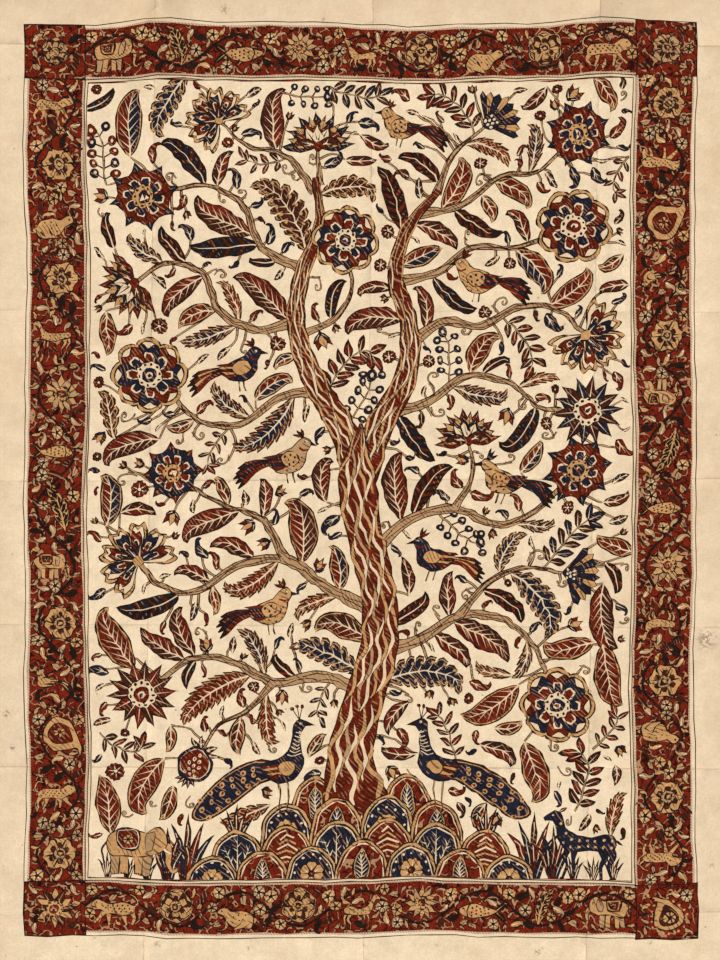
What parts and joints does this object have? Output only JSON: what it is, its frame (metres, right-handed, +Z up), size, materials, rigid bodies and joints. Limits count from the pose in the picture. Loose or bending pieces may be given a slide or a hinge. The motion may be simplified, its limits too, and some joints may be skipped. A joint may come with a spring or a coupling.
{
  "type": "kalamkari panel",
  "caption": "Flat rectangular cotton panel dyed with a tree of life inside a red leafy border, with hemmed ends and soft storage folds, laid out as a cover or wall cloth.",
  "frame": {"origin": "on the surface that the cloth lies on, under the middle of the cloth", "axes": "+Z up out of the dyed face, +Y towards the top of the picture along the cloth's length, +X to the right across its width"},
  "size_m": [1.143, 1.524, 0.0107],
  "materials": {
    "dyed_cotton": "matte plain-weave cotton, cream ground with madder red, indigo and iron black dyes"
  },
  "bodies": {
    "root": {"cloth": "dyed_cotton"}
  },
  "joints": []
}
